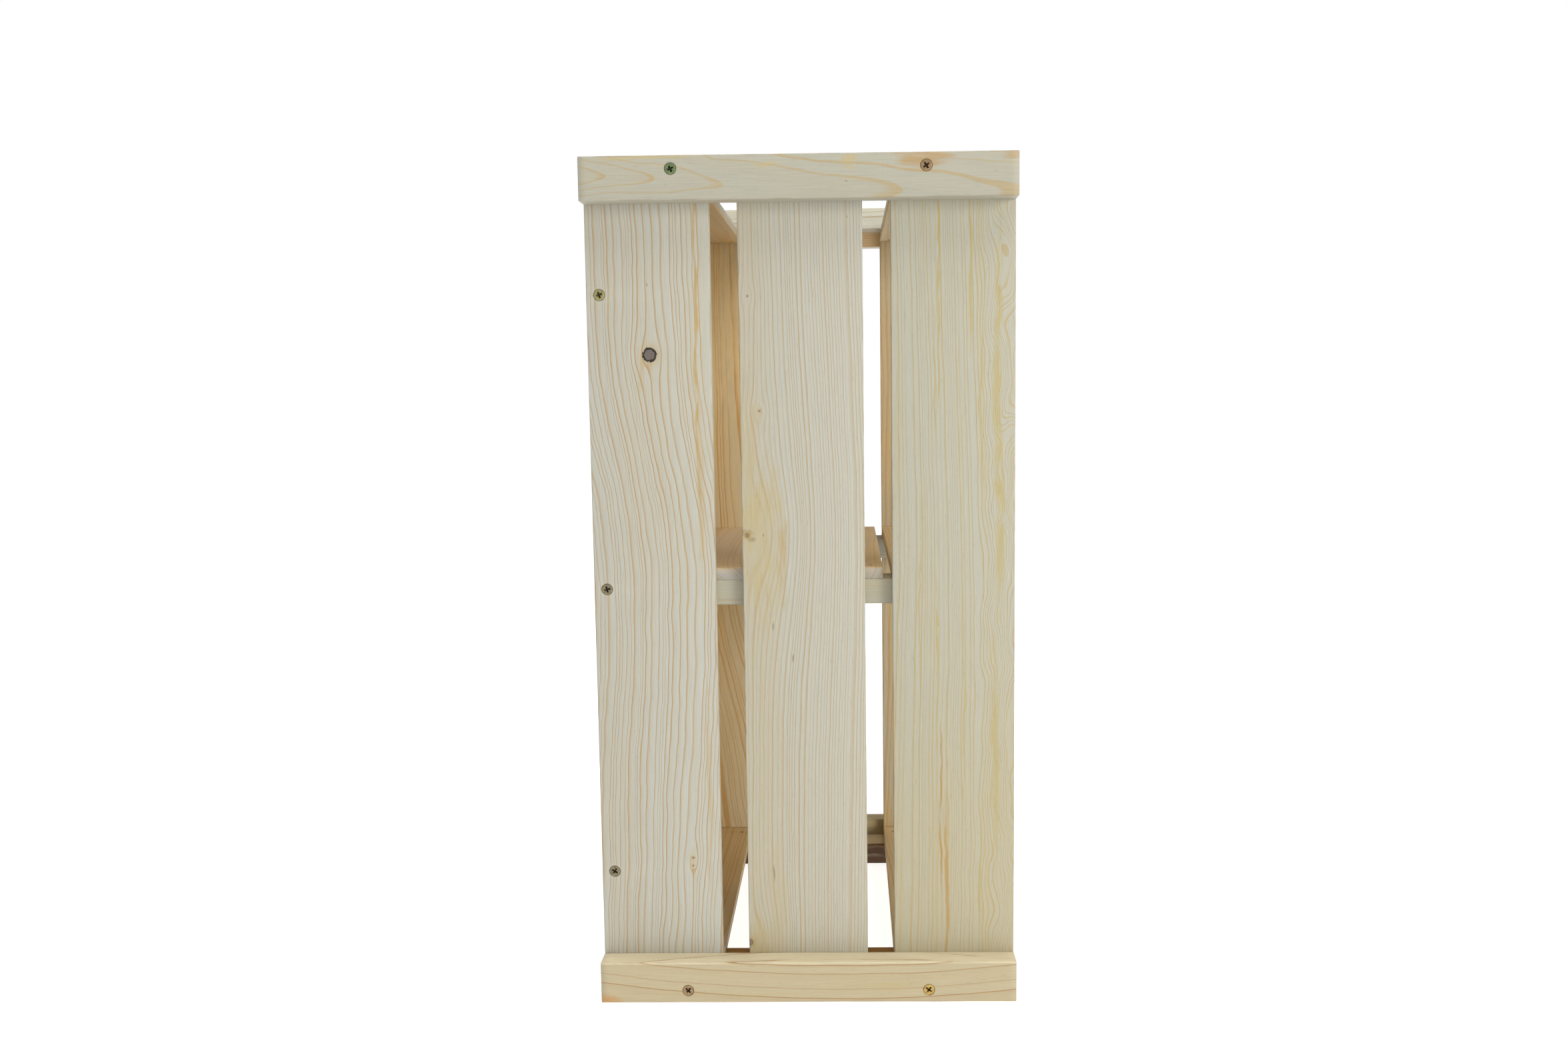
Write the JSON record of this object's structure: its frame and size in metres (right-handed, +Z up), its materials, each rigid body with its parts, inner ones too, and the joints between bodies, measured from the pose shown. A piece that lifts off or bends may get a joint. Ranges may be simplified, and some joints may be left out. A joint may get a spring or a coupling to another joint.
{
  "type": "slatted wooden crate",
  "caption": "Tall slatted softwood apple crate with end battens, screwed corners, a middle shelf and one open side.",
  "frame": {"origin": "on the floor under the middle of the crate, standing on one end", "axes": "+Z up along the crate's length, -Y out of its open side, +X towards the right side wall"},
  "size_m": [0.35, 0.3, 0.6],
  "materials": {
    "board": "planed, untreated softwood",
    "lath": "planed, untreated softwood",
    "screw": "yellow zinc plated",
    "nail": "bright wire"
  },
  "bodies": {
    "root": {"left_side_board_front": "board", "left_side_board_middle": "board", "left_side_board_back": "board", "right_side_board_front": "board", "right_side_board_middle": "board", "right_side_board_back": "board", "left_lower_batten": "lath", "left_upper_batten": "lath", "right_lower_batten": "lath", "right_upper_batten": "lath", "lower_end_lath_left": "lath", "lower_end_lath_right": "lath", "lower_end_board_front": "board", "lower_end_board_middle": "board", "lower_end_board_back": "board", "upper_end_lath_left": "lath", "upper_end_lath_right": "lath", "upper_end_board_front": "board", "upper_end_board_middle": "board", "upper_end_board_back": "board", "shelf_lath_left": "lath", "shelf_lath_right": "lath", "shelf_board_front": "board", "shelf_board_middle": "board", "shelf_board_back": "board", "back_lath_lower": "lath", "back_lath_middle": "lath", "back_lath_upper": "lath", "back_board_left": "board", "back_board_middle": "board", "back_board_right": "board", "left_lower_batten_screw_front": "screw", "left_lower_batten_screw_back": "screw", "left_upper_batten_screw_front": "screw", "left_upper_batten_screw_back": "screw", "right_lower_batten_screw_front": "screw", "right_lower_batten_screw_back": "screw", "right_upper_batten_screw_front": "screw", "right_upper_batten_screw_back": "screw", "left_back_lath_screw_lower": "screw", "left_back_lath_screw_middle": "screw", "left_back_lath_screw_upper": "screw", "right_back_lath_screw_lower": "screw", "right_back_lath_screw_middle": "screw", "right_back_lath_screw_upper": "screw", "left_shelf_nail_front_a": "nail", "left_shelf_nail_front_b": "nail", "left_shelf_nail_middle_a": "nail", "left_shelf_nail_middle_b": "nail", "left_shelf_nail_back_a": "nail", "left_shelf_nail_back_b": "nail", "right_shelf_nail_front_a": "nail", "right_shelf_nail_front_b": "nail", "right_shelf_nail_middle_a": "nail", "right_shelf_nail_middle_b": "nail", "right_shelf_nail_back_a": "nail", "right_shelf_nail_back_b": "nail"}
  },
  "joints": []
}
